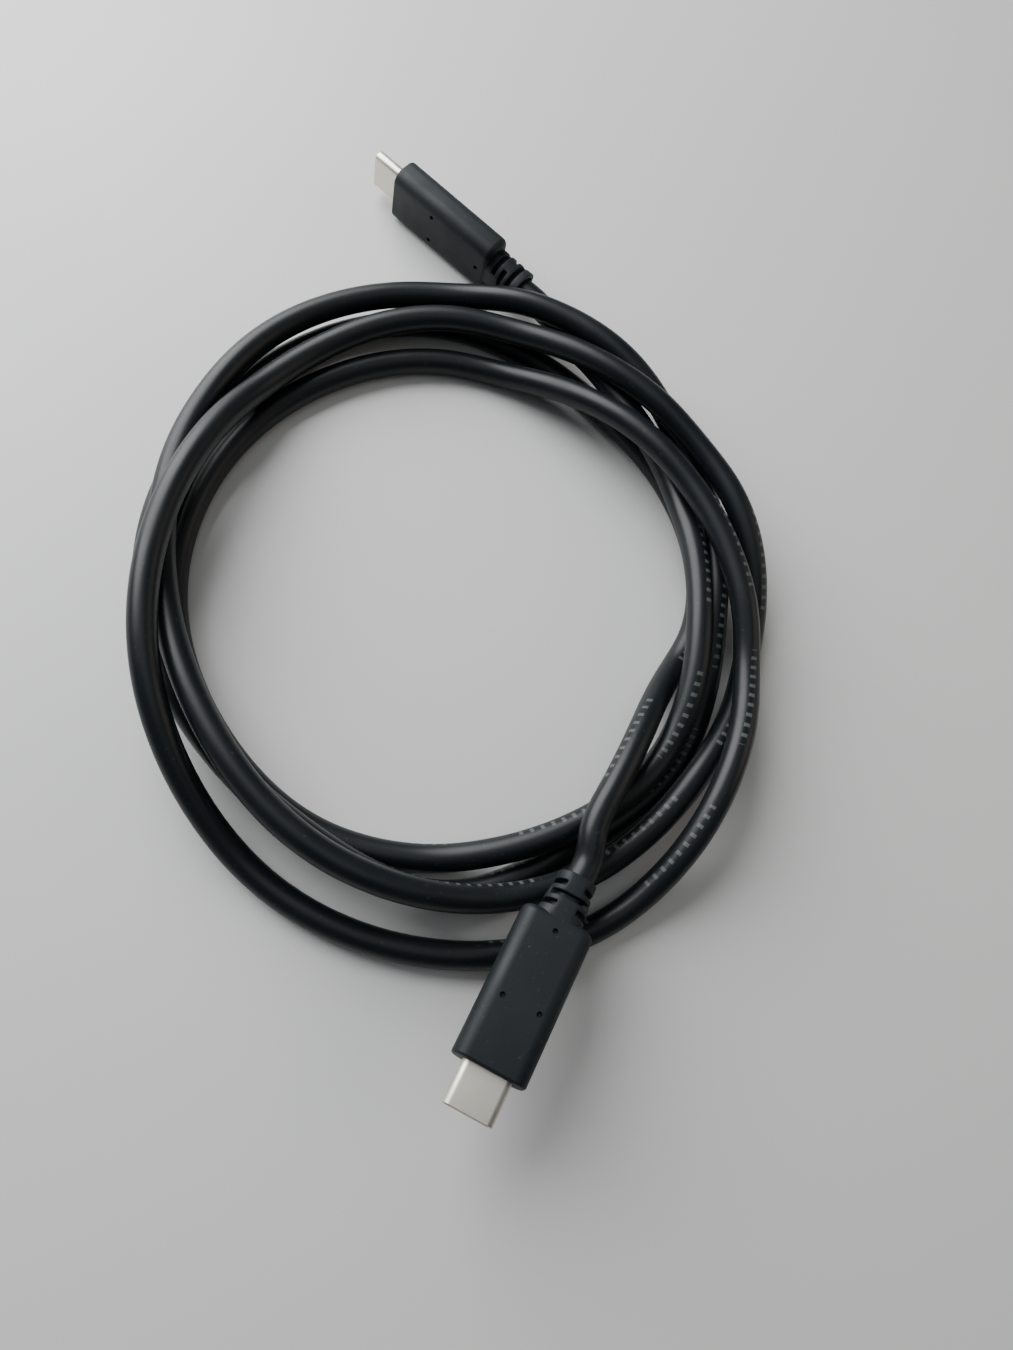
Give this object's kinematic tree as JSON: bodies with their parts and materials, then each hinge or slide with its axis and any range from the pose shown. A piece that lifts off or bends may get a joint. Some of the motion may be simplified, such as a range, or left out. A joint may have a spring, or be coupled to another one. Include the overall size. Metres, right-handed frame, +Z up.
{
  "type": "usb-c cable",
  "caption": "USB-C cable with a smooth round jacket, lying in a loose coil, with a moulded plug and a ribbed strain relief on each end.",
  "frame": {"origin": "middle of the footprint's box, on the surface that the coil lies on", "axes": "+Z up, away from the surface; +Y along the longest extent, from the raised plug to the plug that stands on its side; +X to the right of that"},
  "size_m": [0.1135, 0.1788, 0.0185],
  "materials": {
    "jacket": "smooth satin black, soft plastic jacket",
    "moulding": "matte black, moulded",
    "shell": "nickel-plated steel, satin",
    "insert": "black, moulded"
  },
  "bodies": {
    "root": {"cable": "jacket", "plug_a_overmold": "moulding", "plug_a_shell": "shell", "plug_a_insert": "insert", "plug_b_overmold": "moulding", "plug_b_shell": "shell", "plug_b_insert": "insert"}
  },
  "joints": []
}
